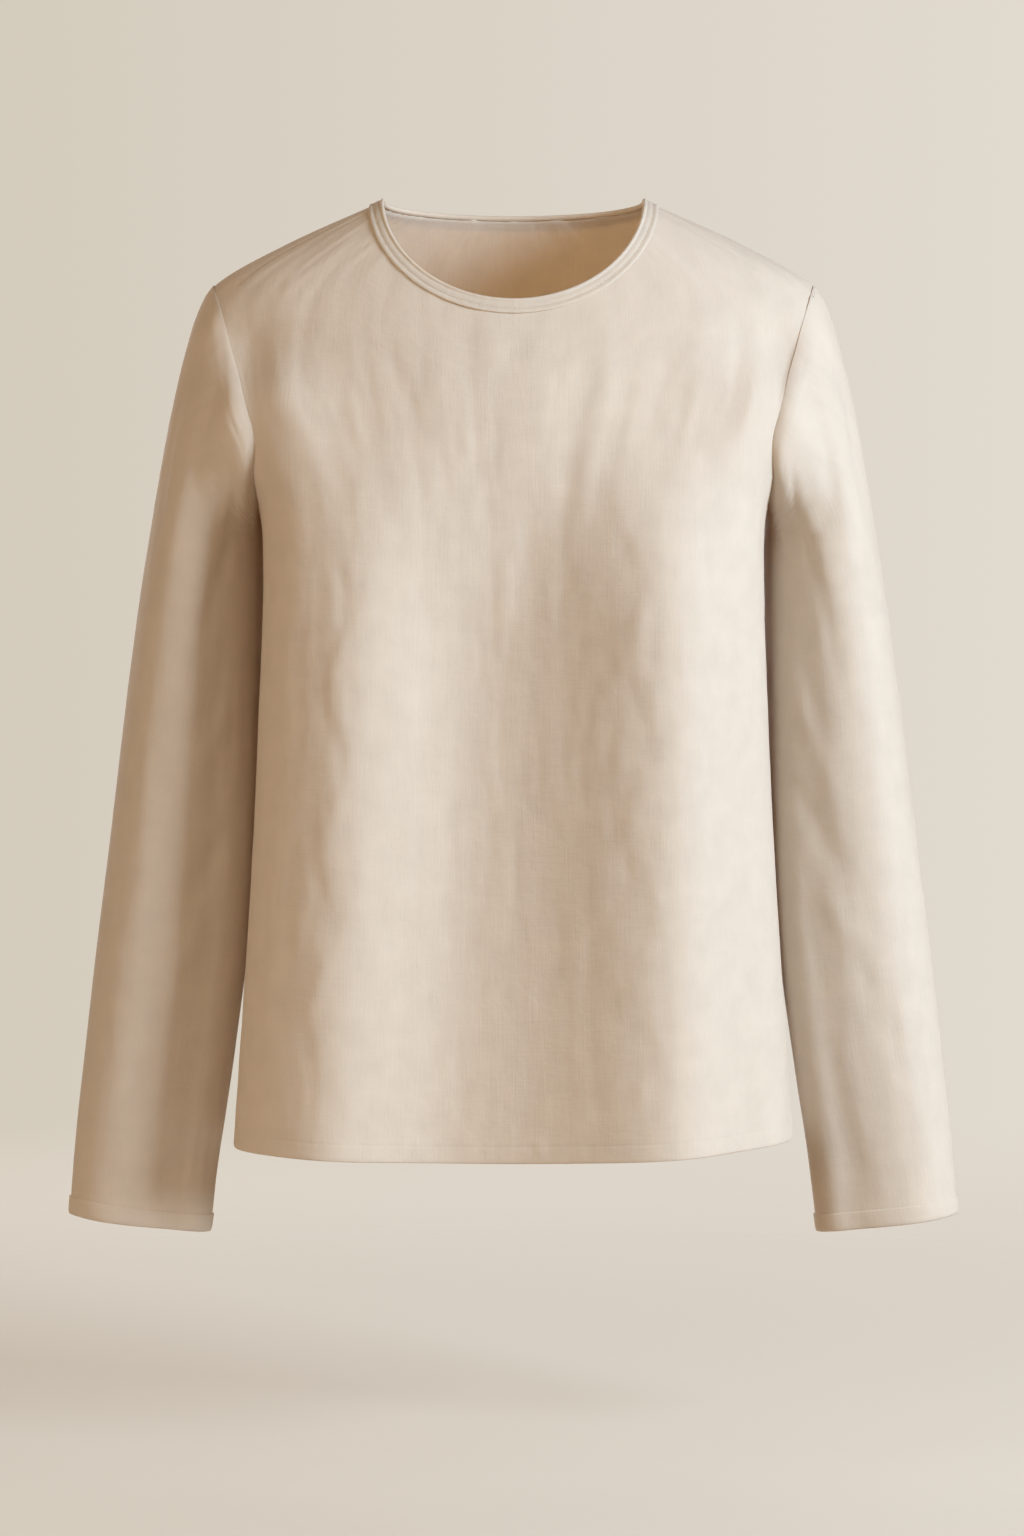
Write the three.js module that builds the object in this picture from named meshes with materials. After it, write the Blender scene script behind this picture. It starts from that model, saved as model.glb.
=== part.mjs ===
// A long-sleeved linen blouse with a round bound neck, filled out as if it were worn.
// Sizes are in millimetres. +Z is up, the front faces -Y and the wearer's left is +X.
// The origin lies midway between the neck ends of the two shoulder seams.
// It is built as it is sewn: a front, a back, two set-in sleeves and one neck binding.
import * as THREE from "three";

// ---- Cloth ----
const CLOTH = 1.2; // wall of one layer
const HEM_WALL = 2.6; // wall where the hem is turned up inside
const HEM_DEPTH = 11; // height of the turned-up hem and cuff
const HEM_STEP = 0.8; // height over which the wall thins above the hem
const SEAM_GAP = 0.3; // air between two pieces at a seam
const LINEN = 0xdcd0c0;

// ---- Neck ----
const NECK_HALF_WIDTH = 88;
const FRONT_NECK_DROP = 76;
const BACK_NECK_DROP = 3.5;
const BINDING_WIDTH = 8.4;
const BINDING_WALL = 1.3;
const BINDING_ROLL = 1.6; // how far the binding rolls past the cut edge

// ---- Body ----
const HEM_HEIGHT = -624; // at the side seams
const HEM_DROP = 8; // how much lower the hem hangs at centre front and centre back
const HEM_LIFT = 3; // how much higher it hangs at the wearer's left side
const ARMPIT = -205;
const SHOULDER_TIP = -57;
const ARMHOLE_MIDDLE = (ARMPIT + SHOULDER_TIP) / 2;
const ARMHOLE_HALF_HEIGHT = (SHOULDER_TIP - ARMPIT) / 2;
const ARMHOLE_FRONT = 50; // how far the armhole reaches forward of the side seam, near its top
const ARMHOLE_FRONT_LOW = 78; // and where it is scooped out, near the armpit
const ARMHOLE_BACK = 62;

// Half width, front depth and back depth of the body at each height.
// Between armpit and shoulder tip the width is that of body and shoulder ball together.
const BODY_LEVELS = [
  { z: 0, wide: 88, front: 46, back: 52 },
  { z: -28, wide: 150.5, front: 58, back: 67 },
  { z: -57, wide: 200.5, front: 69, back: 80 },
  { z: -92, wide: 222, front: 82, back: 91 },
  { z: -131, wide: 212, front: 97, back: 100 },
  { z: -170, wide: 188, front: 109, back: 106 },
  { z: -205, wide: 170, front: 118, back: 110 },
  { z: -250, wide: 166.5, front: 125, back: 110 },
  { z: -330, wide: 168.5, front: 129, back: 107 },
  { z: -430, wide: 172.5, front: 131, back: 109 },
  { z: -540, wide: 179, front: 133, back: 115 },
  { z: -640, wide: 185.5, front: 136, back: 122 },
];

// The largest folds: where round the body each one lies at its top and at the hem (degrees
// from centre front towards the wearer's left), the heights where it starts and is full,
// how far it stands out (+) or sinks in (-), and its half width in degrees.
const BODY_FOLDS = [
  { top: -53, low: -57, start: -90, full: -150, depth: 20.5, half: 17 },
  { top: -32, low: -38, start: -139, full: -334, depth: 10.5, half: 10 },
  { top: -14, low: -18, start: -127, full: -321, depth: -22, half: 16 },
  { top: 5, low: 1, start: -117, full: -250, depth: -21, half: 17 },
  { top: 34, low: 32, start: -137, full: -304, depth: 24, half: 13 },
  { top: 53, low: 57, start: -90, full: -150, depth: 20.5, half: 17 },
  { top: 147, low: 143, start: -180, full: -460, depth: 7, half: 14 },
  { top: -145, low: -140, start: -180, full: -460, depth: 7, half: 14 },
  { top: 180, low: 178, start: -160, full: -500, depth: -8, half: 20 },
  { top: 112, low: 110, start: -240, full: -520, depth: -4, half: 14 },
  { top: -112, low: -109, start: -240, full: -520, depth: -4, half: 14 },
];

// The hollow that runs down each front and back edge between the chest and the arm.
const ARM_HOLLOW = { topTurn: 47, lowTurn: 62, start: -66, full: -120, end: -230, depth: -6, half: 9 };

// ---- Sleeves ----
// Middle, half width and half depth of the arm's sections, from the upper arm to the cuff, and
// how far each bulges in towards the body, behind its side.
const ARM_LEVELS = [
  { z: -225, x: 207.5, y: 20, wide: 36.5, deep: 60, press: 6 },
  { z: -266, x: 211, y: 20, wide: 39.5, deep: 57, press: 6 },
  { z: -333, x: 216, y: 18, wide: 43.5, deep: 52, press: 5 },
  { z: -433, x: 223, y: 13, wide: 48, deep: 44, press: 3 },
  { z: -507, x: 230, y: 8, wide: 49.7, deep: 38, press: 0 },
  { z: -578, x: 238.6, y: 5, wide: 48.8, deep: 33, press: 0 },
  { z: -628, x: 245, y: 3, wide: 47.7, deep: 29, press: 0 },
  { z: -682, x: 250.4, y: 2, wide: 46.5, deep: 26, press: 0 },
];
const ARM_TILT = THREE.MathUtils.degToRad(7.4); // of the sections, square to the arm
const PRESS_ROUND = 212; // where round the arm that bulge lies, and its half width
const PRESS_HALF = 30;
const CAP_TURN = THREE.MathUtils.degToRad(130); // how far the cloth turns at the armpit seam
const CAP_FALL = 0.35; // how much the cap leans down where it leaves the front and back
const CAP_PULL = 72; // how far the cap keeps its own direction below the armhole
const ARM_PULL = 1.05; // the same at the upper arm, as a share of the strand's length

// Folds along the sleeve, in degrees round it from the outer side towards the front.
const SLEEVE_FOLDS = [
  { round: 62, start: 0.25, full: 1.2, depth: 3.2, half: 24 },
  { round: 118, start: 0.35, full: 1.3, depth: -3.4, half: 20 },
  { round: 250, start: 0.3, full: 1.3, depth: -3, half: 24 },
  { round: 305, start: 0.3, full: 1.2, depth: 2.6, half: 26 },
];

// ---- Mesh steps ----
const ROWS = { body: 6, armhole: 12, shoulder: 4, cap: 6, arm: 8 };
const PANEL_COLUMNS = 26;
const SLEEVE_COLUMNS = 2 * ROWS.armhole; // so that sleeve and armhole share their points
const BINDING_STEPS = 3;

const { sin, cos, abs, asin, acos, min, max, PI } = Math;
const smooth = THREE.MathUtils.smoothstep;
const TINY_TURN = 1e-3;
const TINY_HEIGHT = 0.1;

// A column of a table at any height between its rows, joined smoothly.
function between(table, column, z) {
  const last = table.length - 1;
  let i = 0;
  while (i < last - 1 && z < table[i + 1].z) i += 1;
  const slopeAt = (j) => {
    const above = table[max(j - 1, 0)];
    const below = table[min(j + 1, last)];
    return (below[column] - above[column]) / (below.z - above.z);
  };
  const step = table[i + 1].z - table[i].z;
  const t = (z - table[i].z) / step;
  const bend = (from, to) => t * t * (3 - 2 * t) * (to - from) + from;
  const pull = (t ** 3 - 2 * t * t + t) * slopeAt(i) + (t ** 3 - t * t) * slopeAt(i + 1);
  return bend(table[i][column], table[i + 1][column]) + pull * step;
}

// A bell that is 1 on a fold's crest and 0 two half widths away.
function bell(offset, half) {
  return Math.exp(-((offset / half) ** 2));
}

// The smallest angle between two turns, in degrees.
function apart(a, b) {
  return abs(((a - b + 540) % 360) - 180);
}

function bodyFold(turn, z) {
  const at = THREE.MathUtils.radToDeg(turn);
  let out = 0;
  for (const fold of BODY_FOLDS) {
    const place = THREE.MathUtils.mapLinear(z, fold.start, HEM_HEIGHT, fold.top, fold.low);
    out += fold.depth * smooth(-z, -fold.start, -fold.full) * bell(apart(at, place), fold.half);
  }
  const h = ARM_HOLLOW;
  const strength = smooth(-z, -h.start, -h.full) * (1 - smooth(-z, -h.full, -h.end));
  const place = THREE.MathUtils.mapLinear(z, h.start, h.end, h.topTurn, h.lowTurn);
  for (const side of [place, -place, 180 - place, place - 180]) {
    out += h.depth * strength * bell(apart(at, side), h.half);
  }
  return out;
}

// The smooth form that the body hangs on, and the same with its folds.
function bodyForm(turn, z) {
  const depth = between(BODY_LEVELS, cos(turn) > 0 ? "front" : "back", z);
  const wide = between(BODY_LEVELS, "wide", z);
  return new THREE.Vector3(wide * sin(turn), -depth * cos(turn), z);
}

// Outward direction square to a surface given by two running values.
function squareTo(surface, a, b, stepA, stepB) {
  const alongA = surface(a + stepA, b).sub(surface(a - stepA, b));
  const alongB = surface(a, b + stepB).sub(surface(a, b - stepB));
  return alongA.cross(alongB).normalize();
}

function bodyPoint(turn, z) {
  const out = squareTo(bodyForm, turn, z, TINY_TURN, TINY_HEIGHT);
  return bodyForm(turn, z).addScaledVector(out, bodyFold(turn, z));
}

function bodyOut(turn, z) {
  return squareTo(bodyPoint, turn, z, TINY_TURN, TINY_HEIGHT);
}

// Height of the cut neck edge at a turn: an ellipse as seen from the front.
function neckHeight(turn) {
  const drop = cos(turn) > 0 ? FRONT_NECK_DROP : BACK_NECK_DROP;
  let low = -drop;
  let high = 0;
  for (let i = 0; i < 40; i += 1) {
    const z = (low + high) / 2;
    const across = (between(BODY_LEVELS, "wide", z) * sin(turn)) / NECK_HALF_WIDTH;
    if (across ** 2 + (z / drop) ** 2 > 1) low = z;
    else high = z;
  }
  return (low + high) / 2;
}

// How far the armhole cuts into a panel from its side seam, as a turn, and at what height.
// round runs from 0 at the shoulder tip to PI at the armpit.
function armholeEdge(round, isFront) {
  const z = ARMHOLE_MIDDLE + ARMHOLE_HALF_HEIGHT * cos(round);
  const front = THREE.MathUtils.lerp(ARMHOLE_FRONT, ARMHOLE_FRONT_LOW, smooth(-z, 95, 215));
  const reach = (isFront ? front : ARMHOLE_BACK) * sin(round);
  return { z, cut: asin(reach / between(BODY_LEVELS, isFront ? "front" : "back", z)) };
}

// ---- Walls ----
// A closed solid from rows of outer points and the matching inner points.
function wall(outer, inner, closedRound) {
  const rows = outer.length;
  const columns = outer[0].length;
  const points = [...outer.flat(), ...inner.flat()];
  const faces = [];
  const quad = (a, b, c, d) => {
    const isShorter = points[a].distanceTo(points[c]) < points[b].distanceTo(points[d]);
    if (isShorter) faces.push(a, b, c, a, c, d);
    else faces.push(a, b, d, b, c, d);
  };
  const at = (layer, r, c) => layer * rows * columns + r * columns + (c % columns);
  const spans = closedRound ? columns : columns - 1;
  for (let r = 0; r < rows - 1; r += 1) {
    for (let c = 0; c < spans; c += 1) {
      quad(at(0, r, c), at(0, r, c + 1), at(0, r + 1, c + 1), at(0, r + 1, c));
      quad(at(1, r, c), at(1, r + 1, c), at(1, r + 1, c + 1), at(1, r, c + 1));
    }
  }
  for (let c = 0; c < spans; c += 1) {
    quad(at(1, 0, c), at(1, 0, c + 1), at(0, 0, c + 1), at(0, 0, c));
    quad(at(0, rows - 1, c), at(0, rows - 1, c + 1), at(1, rows - 1, c + 1), at(1, rows - 1, c));
  }
  for (let r = 0; r < rows - 1 && !closedRound; r += 1) {
    quad(at(1, r, 0), at(0, r, 0), at(0, r + 1, 0), at(1, r + 1, 0));
    quad(at(0, r, spans), at(1, r, spans), at(1, r + 1, spans), at(0, r + 1, spans));
  }
  const geometry = new THREE.BufferGeometry().setFromPoints(points);
  geometry.setIndex(faces);
  geometry.computeVertexNormals();
  return geometry;
}

// ---- Front and back ----
// The side edge of a panel from hem to neck: height, cut from the side seam, wall, and how
// much of the neck's curve the row has taken on.
function panelEdges(isFront) {
  const edges = [
    { z: HEM_HEIGHT, cut: 0, thick: HEM_WALL, neck: 0 },
    { z: HEM_HEIGHT + HEM_DEPTH, cut: 0, thick: HEM_WALL, neck: 0 },
  ];
  const start = HEM_HEIGHT + HEM_DEPTH + HEM_STEP;
  for (let i = 0; i < ROWS.body; i += 1) {
    const z = THREE.MathUtils.lerp(start, ARMPIT, i / ROWS.body);
    edges.push({ z, cut: 0, thick: CLOTH, neck: 0 });
  }
  for (let i = 0; i <= ROWS.armhole; i += 1) {
    const round = PI * (1 - i / ROWS.armhole);
    const { z, cut } = armholeEdge(round, isFront);
    const seam = seamWay(isFront ? round : -round);
    edges.push({ z, cut, thick: CLOTH, neck: 1 - z / ARMPIT, seam });
  }
  for (let i = 1; i <= ROWS.shoulder; i += 1) {
    const z = SHOULDER_TIP * (1 - i / ROWS.shoulder);
    edges.push({ z, cut: 0, thick: CLOTH, neck: 1 - z / ARMPIT });
  }
  return edges;
}

function panel(isFront) {
  const outer = [];
  const inner = [];
  const depthColumn = isFront ? "front" : "back";
  for (const edge of panelEdges(isFront)) {
    const gap = SEAM_GAP / 2 / between(BODY_LEVELS, depthColumn, edge.z);
    const reach = PI / 2 - edge.cut - gap;
    const outerRow = [];
    const innerRow = [];
    for (let c = 0; c <= PANEL_COLUMNS; c += 1) {
      const share = (2 * c) / PANEL_COLUMNS - 1;
      const middle = isFront ? 0 : PI;
      const turn = middle + share * reach;
      const hem = HEM_LIFT * sin(turn) - HEM_DROP * cos(turn) ** 2;
      const low = 1 - smooth(edge.z, HEM_HEIGHT, ARMPIT);
      const z = edge.z + edge.neck * neckHeight(middle + (share * PI) / 2) + low * hem;
      const point = bodyPoint(turn, z);
      const out = bodyOut(turn, z);
      if (edge.seam && abs(share) === 1) {
        out.copy(edge.seam);
        out.x *= Math.sign(point.x);
      }
      outerRow.push(point);
      innerRow.push(point.clone().addScaledVector(out, -edge.thick));
    }
    outer.push(outerRow);
    inner.push(innerRow);
  }
  return wall(outer, inner, false);
}

// ---- Sleeves ----
// A section of the arm at a height, at an angle round it from the outer side to the front.
function armForm(round, z) {
  const wide = between(ARM_LEVELS, "wide", z) * cos(round);
  const at = THREE.MathUtils.radToDeg(round);
  const press = between(ARM_LEVELS, "press", z) * bell(apart(at, PRESS_ROUND), PRESS_HALF);
  return new THREE.Vector3(
    between(ARM_LEVELS, "x", z) - press + wide * cos(ARM_TILT),
    between(ARM_LEVELS, "y", z) - between(ARM_LEVELS, "deep", z) * sin(round),
    z + wide * sin(ARM_TILT),
  );
}

// Where on the body the sleeve is sewn in, at the same angle round it.
function armholePlace(round) {
  const isFront = sin(round) >= 0;
  const { z, cut } = armholeEdge(acos(cos(round)), isFront);
  return { turn: PI / 2 + (isFront ? -cut : cut), z };
}

// The way the cloth faces at the seam, midway between the body's and the sleeve's.
function seamWay(round) {
  const { turn, z } = armholePlace(round);
  return bodyOut(turn, z).add(sleeveOut(sleeveForm, round, 0)).normalize();
}

// The way the cap leaves the armhole: it carries on the shoulder's slope at the top, and
// turns out and down more and more towards the armpit.
function capWay(round) {
  const place = armholePlace(round);
  const next = armholePlace(round + TINY_TURN);
  const here = bodyPoint(place.turn, place.z);
  const seam = bodyPoint(next.turn, next.z).sub(here).normalize();
  const out = bodyOut(place.turn, place.z);
  const on = new THREE.Vector3().crossVectors(out, seam).normalize();
  const turned = CAP_TURN * ((1 - cos(round)) / 2) ** 1.2;
  const way = on.multiplyScalar(cos(turned)).addScaledVector(out, sin(turned));
  way.z -= CAP_FALL * sin(round) ** 2;
  return way.normalize();
}

// along runs from 0 at the armhole to 1 at the upper arm and 2 at the cuff.
function sleeveForm(round, along) {
  const top = ARM_LEVELS[0].z;
  const cuff = ARM_LEVELS[ARM_LEVELS.length - 1].z;
  if (along > 1) return armForm(round, THREE.MathUtils.lerp(top, cuff, along - 1));
  const way = capWay(round);
  const seam = armholePlace(round);
  const from = bodyPoint(seam.turn, seam.z).addScaledVector(way, SEAM_GAP);
  const to = armForm(round, top);
  const length = from.distanceTo(to);
  const down = armForm(round, top - 1).sub(to).normalize().multiplyScalar(length * ARM_PULL);
  way.multiplyScalar(min(CAP_PULL, length * 0.8));
  const t = along;
  return new THREE.Vector3()
    .addScaledVector(from, 2 * t ** 3 - 3 * t * t + 1)
    .addScaledVector(way, t ** 3 - 2 * t * t + t)
    .addScaledVector(to, 3 * t * t - 2 * t ** 3)
    .addScaledVector(down, t ** 3 - t * t);
}

function sleeveFold(round, along) {
  const at = THREE.MathUtils.radToDeg(round);
  let out = 0;
  for (const fold of SLEEVE_FOLDS) {
    out += fold.depth * smooth(along, fold.start, fold.full) * bell(apart(at, fold.round), fold.half);
  }
  return out;
}

const ALONG_STEP = 1e-3;

function sleeveOut(surface, round, along) {
  const here = max(along, ALONG_STEP);
  return squareTo(surface, round, here, TINY_TURN, ALONG_STEP);
}

function sleevePoint(round, along) {
  const out = sleeveOut(sleeveForm, round, along);
  return sleeveForm(round, along).addScaledVector(out, sleeveFold(round, along));
}

// The wearer's left sleeve; the right one is its mirror image.
function sleeve(isLeft) {
  const armLength = ARM_LEVELS[0].z - ARM_LEVELS[ARM_LEVELS.length - 1].z;
  const hem = 2 - HEM_DEPTH / armLength;
  const rows = [];
  for (let i = 0; i < ROWS.cap; i += 1) rows.push({ along: i / ROWS.cap, thick: CLOTH });
  for (let i = 0; i < ROWS.arm; i += 1) {
    rows.push({ along: 1 + (i / ROWS.arm) * (hem - 1), thick: CLOTH });
  }
  rows.push({ along: hem - HEM_STEP / armLength, thick: CLOTH });
  rows.push({ along: hem, thick: HEM_WALL });
  rows.push({ along: 2, thick: HEM_WALL });
  const outer = [];
  const inner = [];
  for (const { along, thick } of rows) {
    const outerRow = [];
    const innerRow = [];
    for (let c = 0; c < SLEEVE_COLUMNS; c += 1) {
      const round = (2 * PI * c) / SLEEVE_COLUMNS;
      const point = sleevePoint(round, along);
      const out = along === 0 ? seamWay(round) : sleeveOut(sleevePoint, round, along);
      outerRow.push(point);
      innerRow.push(point.clone().addScaledVector(out, -thick));
    }
    if (!isLeft) {
      for (const p of [...outerRow, ...innerRow]) p.x = -p.x;
      outerRow.reverse();
      innerRow.reverse();
    }
    outer.push(outerRow);
    inner.push(innerRow);
  }
  return wall(outer, inner, true);
}

// ---- Neck binding ----
// One strip round the whole neck: it lies on the panels and rolls over their cut edge.
function binding() {
  const lift = SEAM_GAP;
  const top = SEAM_GAP + BINDING_WALL;
  // Corners of the strip's section: down the panel from its edge, and out from its face.
  const section = [
    { down: BINDING_WIDTH, out: lift },
    { down: BINDING_WIDTH, out: top },
    { down: BINDING_WIDTH / 2, out: top },
    { down: -BINDING_ROLL / 2, out: top },
    { down: -BINDING_ROLL, out: top - BINDING_ROLL / 2 },
    { down: -BINDING_ROLL, out: -CLOTH },
    { down: -BINDING_ROLL / 2, out: -CLOTH - lift },
    { down: -lift, out: -CLOTH - lift },
    { down: -lift, out: lift },
    { down: BINDING_WIDTH / 2, out: lift },
  ];
  const rings = [];
  for (let c = 0; c < 2 * PANEL_COLUMNS; c += 1) {
    const turn = (PI * c) / PANEL_COLUMNS;
    rings.push(section.map(({ down, out }) => bindingPoint(turn, down, out)));
  }
  return tubeRound(rings);
}

// A point near the neck edge: some way down the panel, square to the edge, and out from it.
function bindingPoint(turn, down, out) {
  const neckEdge = (t) => bodyPoint(t, neckHeight(t));
  const edgeWay = neckEdge(turn + TINY_TURN).sub(neckEdge(turn - TINY_TURN)).normalize();
  const place = { turn, z: neckHeight(turn) };
  if (down < 0) {
    const face = bodyOut(place.turn, place.z);
    const away = new THREE.Vector3().crossVectors(edgeWay, face).normalize();
    return neckEdge(turn).addScaledVector(away, down).addScaledVector(face, out);
  }
  for (let i = 0; i < BINDING_STEPS; i += 1) {
    const face = bodyOut(place.turn, place.z);
    const away = new THREE.Vector3().crossVectors(edgeWay, face).normalize();
    step(place, away.multiplyScalar(down / BINDING_STEPS));
  }
  return bodyPoint(place.turn, place.z).addScaledVector(bodyOut(place.turn, place.z), out);
}

// Moves a place on the body by a short way that lies in its face.
function step(place, way) {
  const here = bodyPoint(place.turn, place.z);
  const perTurn = bodyPoint(place.turn + TINY_TURN, place.z).sub(here).divideScalar(TINY_TURN);
  const perHeight = bodyPoint(place.turn, place.z + TINY_HEIGHT).sub(here).divideScalar(TINY_HEIGHT);
  const tt = perTurn.lengthSq();
  const hh = perHeight.lengthSq();
  const th = perTurn.dot(perHeight);
  const wt = way.dot(perTurn);
  const wh = way.dot(perHeight);
  const size = tt * hh - th * th;
  place.turn += (wt * hh - wh * th) / size;
  place.z += (wh * tt - wt * th) / size;
}

// A closed solid from closed sections placed round a loop.
function tubeRound(rings) {
  const sides = rings[0].length;
  const faces = [];
  for (let r = 0; r < rings.length; r += 1) {
    const next = (r + 1) % rings.length;
    for (let s = 0; s < sides; s += 1) {
      const a = r * sides + s;
      const b = r * sides + ((s + 1) % sides);
      const c = next * sides + ((s + 1) % sides);
      const d = next * sides + s;
      faces.push(a, c, b, a, d, c);
    }
  }
  const geometry = new THREE.BufferGeometry().setFromPoints(rings.flat());
  geometry.setIndex(faces);
  geometry.computeVertexNormals();
  return geometry;
}

// ---- The blouse ----
const linen = new THREE.MeshStandardMaterial({ color: LINEN, roughness: 0.85, metalness: 0 });

function piece(name, geometry) {
  const mesh = new THREE.Mesh(geometry, linen.clone());
  mesh.name = name;
  return mesh;
}

const blouse = new THREE.Group();
blouse.add(
  piece("front", panel(true)),
  piece("back", panel(false)),
  piece("sleeve_left", sleeve(true)),
  piece("sleeve_right", sleeve(false)),
  piece("neck_binding", binding()),
);

export default blouse;
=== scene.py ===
"""A linen blouse, filled out with no wearer: front, back, two set-in sleeves and a neck binding.

Sizes of the cloth are in millimetres, as a maker would give them, and every mesh is in metres.
+Z is up, the front faces -Y and the wearer's left is +X. The origin lies midway between the
neck ends of the shoulder seams.
"""

import math

import bmesh
import bpy
import numpy as np
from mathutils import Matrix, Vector


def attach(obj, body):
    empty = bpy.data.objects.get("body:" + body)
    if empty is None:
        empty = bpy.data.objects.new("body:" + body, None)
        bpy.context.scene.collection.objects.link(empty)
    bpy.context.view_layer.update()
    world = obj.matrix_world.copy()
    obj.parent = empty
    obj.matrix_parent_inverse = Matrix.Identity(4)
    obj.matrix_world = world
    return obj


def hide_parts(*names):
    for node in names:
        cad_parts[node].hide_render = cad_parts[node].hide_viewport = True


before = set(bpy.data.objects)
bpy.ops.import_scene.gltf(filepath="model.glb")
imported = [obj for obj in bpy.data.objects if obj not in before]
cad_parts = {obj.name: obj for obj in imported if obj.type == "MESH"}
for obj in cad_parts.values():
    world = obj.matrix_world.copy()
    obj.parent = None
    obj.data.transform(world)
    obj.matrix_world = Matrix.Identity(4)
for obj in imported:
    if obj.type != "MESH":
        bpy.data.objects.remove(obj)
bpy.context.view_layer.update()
MM = 0.001

# ---- Cloth ----
CLOTH = 0.9  # wall of one layer
FOLDED = 2.0  # wall of a turned-up hem or cuff
HEM_DEPTH = 10.8

# ---- Neck ----
NECK_HALF_WIDTH = 88
FRONT_NECK_DROP = 76
BACK_NECK_DROP = 3.5

# ---- Body ----
HEM_HEIGHT = -624
HEM_DROP = 8  # at centre front
HEM_LIFT = 3  # towards the wearer's left
ARMPIT = -205
SHOULDER_TIP = -57
ARMHOLE_FRONT = 50  # near its top
ARMHOLE_FRONT_LOW = 78  # where it is scooped out
ARMHOLE_BACK = 62

# Half width and depths of the body at each height.
BODY_LEVELS = {
    "z": [0, -28, -57, -92, -131, -170, -205, -250, -330, -430, -540, -640],
    "wide": [88, 150.5, 200.5, 222, 212, 188, 170, 166.5, 168.5, 172.5, 179, 185.5],
    "front": [46, 58, 69, 82, 97, 109, 118, 125, 129, 131, 133, 136],
    "back": [52, 67, 80, 91, 100, 106, 110, 110, 107, 109, 115, 122],
}

# The long folds that fall from the chest and the shoulder blades. Turns are in degrees from
# centre front towards the wearer's left, at the fold's top and at the hem.
BODY_FOLDS = [
    # top, low, start, full, out, half width
    (-53, -57, -90, -150, 20.5, 17),
    (-32, -38, -139, -334, 10.5, 10),
    (-14, -18, -127, -321, -22, 16),
    (5, 1, -117, -250, -21, 17),
    (34, 32, -137, -304, 24, 13),
    (53, 57, -90, -150, 20.5, 17),
    (147, 143, -180, -460, 8, 14),
    (-145, -140, -180, -460, 8, 14),
    (180, 178, -160, -500, -10, 22),
    (112, 110, -240, -520, -4, 14),
    (-112, -109, -240, -520, -4, 14),
]

# Smaller creases, each from one place to another: turn and height, turn and height, how far
# out before CREASE_SHARE, half width. They drag from the armholes, hang on the chest and break
# up the long folds.
BODY_CREASES = [
    (-53, -78, -52, -172, -2.0, 10), (52, -74, 52, -156, -2.0, 10), (41, -92, 39, -176, -1.8, 10),
    (47, -108, 48, -192, 1.6, 8), (-33, -92, -36, -204, -0.9, 9), (-44, -100, -42, -186, 0.9, 9),
    (-22, -96, -19, -192, -0.9, 8), (-12, -88, -11, -166, 0.8, 6), (-4, -104, -6, -214, -0.9, 7),
    (4, -90, 6, -186, 0.8, 6), (11, -84, 12, -232, -1.0, 8), (18, -110, 17, -196, 0.7, 6),
    (25, -96, 28, -168, -0.8, 7), (-27, -150, -24, -236, 0.8, 7), (1, -210, -2, -290, 0.7, 6),
    (-40, -244, -37, -300, -0.9, 5), (-36, -286, -41, -348, 0.9, 5), (-41, -344, -36, -398, -1.0, 5),
    (-37, -392, -42, -452, 0.9, 5), (-43, -440, -38, -502, -1.0, 5), (-38, -494, -43, -548, 1.0, 5),
    (-45, -536, -41, -606, -0.8, 5), (-33, -420, -31, -520, 0.6, 5), (-30, -330, -33, -392, -0.6, 5),
    (23, -226, 27, -284, -0.8, 5), (28, -270, 24, -334, 0.9, 5), (24, -322, 28, -388, -1.0, 5),
    (28, -376, 23, -442, 0.9, 5), (23, -432, 27, -500, -0.9, 5), (28, -486, 24, -542, 0.8, 5),
    (24, -540, 28, -596, -0.7, 5), (8, -330, 11, -420, 0.5, 6), (-8, -380, -6, -470, -0.5, 6),
    (150, -96, 146, -196, -1.4, 9), (-152, -90, -146, -184, -1.3, 9), (169, -92, 171, -204, 0.9, 7),
    (-168, -100, -171, -180, -0.9, 7), (180, -112, 178, -236, 0.8, 6), (141, -300, 144, -384, 1.0, 6),
    (-141, -326, -138, -420, -1.0, 6), (146, -420, 142, -518, -0.9, 6), (-143, -446, -147, -556, 1.0, 6),
    (176, -280, 174, -362, -0.8, 7), (-160, -250, -156, -330, 0.8, 6), (128, -94, 124, -170, -2.0, 9),
    (-128, -98, -125, -160, -2.0, 9), (96, -262, 92, -330, -1.2, 8), (-95, -250, -98, -316, -1.2, 8),
    (86, -380, 90, -470, 0.9, 8), (-88, -410, -85, -500, 0.9, 8),
]

CREASE_SHARE = 0.75

# The hollow between the chest and the arm, and the same at the back.
HOLLOW = {"start": -66, "full": -120, "end": -230, "top": 47, "low": 62, "out": -6, "half": 9}

# ---- Sleeves ----
ARM_LEVELS = {
    "z": [-225, -266, -333, -433, -507, -578, -628, -682],
    "x": [207.5, 211, 216, 223, 230, 238.6, 245, 250.4],
    "y": [20, 20, 18, 13, 8, 5, 3, 2],
    "wide": [36.5, 39.5, 43.5, 48, 49.7, 48.8, 47.7, 46.5],
    "deep": [60, 57, 52, 44, 38, 33, 29, 26],
    "press": [6, 6, 5, 3, 0, 0, 0, 0],
}
PRESS_ROUND = 212  # degrees round the arm where it presses towards the body
PRESS_HALF = 30
ARM_TILT = math.radians(7.4)
CAP_TURN = math.radians(130)  # how far the cap's way out turns from shoulder to armpit
CAP_FALL = 0.35
CAP_PULL = 72
ARM_PULL = 1.05
CAP_TUCK = 0.7  # how far the sleeve's edge goes in under the body's
CAP_SINK = 0.15

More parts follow.
